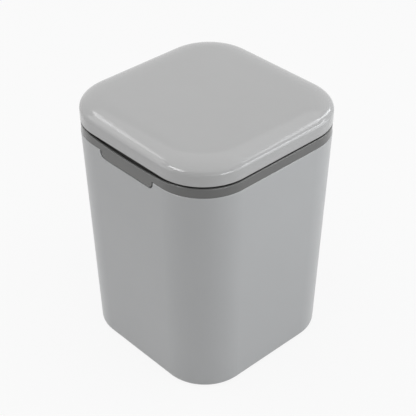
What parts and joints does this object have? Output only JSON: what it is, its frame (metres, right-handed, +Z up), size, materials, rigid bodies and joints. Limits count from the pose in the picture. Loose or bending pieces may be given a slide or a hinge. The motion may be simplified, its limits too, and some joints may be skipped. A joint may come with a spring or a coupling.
{
  "type": "push top countertop bin",
  "caption": "Small tapered rounded-square countertop bin with a lift-off ring and a hinged lid that opens when its front edge is pressed.",
  "frame": {"origin": "centre of the base, on the surface that the bin stands on", "axes": "+Z up, -Y towards the front with the ring's tab and the push latch, +Y towards the lid's hinge"},
  "size_m": [0.134, 0.134, 0.18],
  "materials": {
    "bucket_plastic": "light grey, satin moulded",
    "lid_plastic": "light grey, glossy",
    "ring_plastic": "mid grey, satin moulded",
    "latch_plastic": "dark grey, fine matte",
    "slider_plastic": "natural white, slightly waxy",
    "screw_steel": "zinc plated",
    "pin_steel": "drawn, bright",
    "spring_steel": "drawn wire, lightly oiled"
  },
  "bodies": {
    "bucket": {"bucket": "bucket_plastic"},
    "ring": {"ring_frame": "ring_plastic", "latch_housing": "latch_plastic", "latch_cover": "latch_plastic", "latch_screws": "screw_steel", "latch_spring": "spring_steel"},
    "hinge_pin": {"hinge_pin": "pin_steel", "hinge_clips": "pin_steel", "lid_spring": "spring_steel"},
    "lid": {"lid_shell": "lid_plastic", "lid_liner": "ring_plastic", "liner_screws": "screw_steel", "striker": "latch_plastic", "striker_screws": "screw_steel"},
    "latch_slider": {"latch_slider": "slider_plastic"},
    "jaw_left": {"latch_jaw_left": "slider_plastic"},
    "jaw_right": {"latch_jaw_right": "slider_plastic"},
    "latch_wire": {"latch_wire": "spring_steel"}
  },
  "joints": [
    {"name": "ring_lift", "type": "slide", "parent": "bucket", "child": "ring", "axis": [0, 0, 1], "range_m": [0, 0.06]},
    {"name": "lid_swing", "type": "hinge", "parent": "ring", "child": "hinge_pin", "pos_m": [0, 0.061, 0.168], "axis": [-1, 0, 0], "range_deg": [0, 80]},
    {"name": "lid_press", "type": "hinge", "parent": "hinge_pin", "child": "lid", "pos_m": [0, 0.061, 0.168], "axis": [-1, 0, 0], "range_deg": [-0.5, 1.9], "stiffness_Nm_per_rad": 20, "springref_deg": 0.14},
    {"name": "latch_slide", "type": "slide", "parent": "ring", "child": "latch_slider", "axis": [0, 0, 1], "range_m": [-0.00105, 0.0039], "deforming": ["latch_spring"]},
    {"name": "jaw_left_swing", "type": "hinge", "parent": "latch_slider", "child": "jaw_left", "pos_m": [-0.0072, -0.0545, 0.15], "axis": [0, -1, 0], "range_deg": [-2.7, 10.1]},
    {"name": "jaw_right_swing", "type": "hinge", "parent": "latch_slider", "child": "jaw_right", "pos_m": [0.0072, -0.0545, 0.15], "axis": [0, 1, 0], "range_deg": [-2.7, 10.1]},
    {"name": "wire_swing", "type": "hinge", "parent": "ring", "child": "latch_wire", "pos_m": [0, -0.0476, 0.129], "axis": [0, 1, 0], "range_deg": [-2.1, 7.7]}
  ],
  "couplings": [
    {"joint": "latch_slide", "follows": "lid_press", "m_per_rad": 0.1155},
    {"joint": "jaw_left_swing", "follows": "lid_press", "ratio": 5.2},
    {"joint": "jaw_right_swing", "follows": "lid_press", "ratio": 5.2},
    {"joint": "wire_swing", "follows": "lid_press", "ratio": 4}
  ]
}
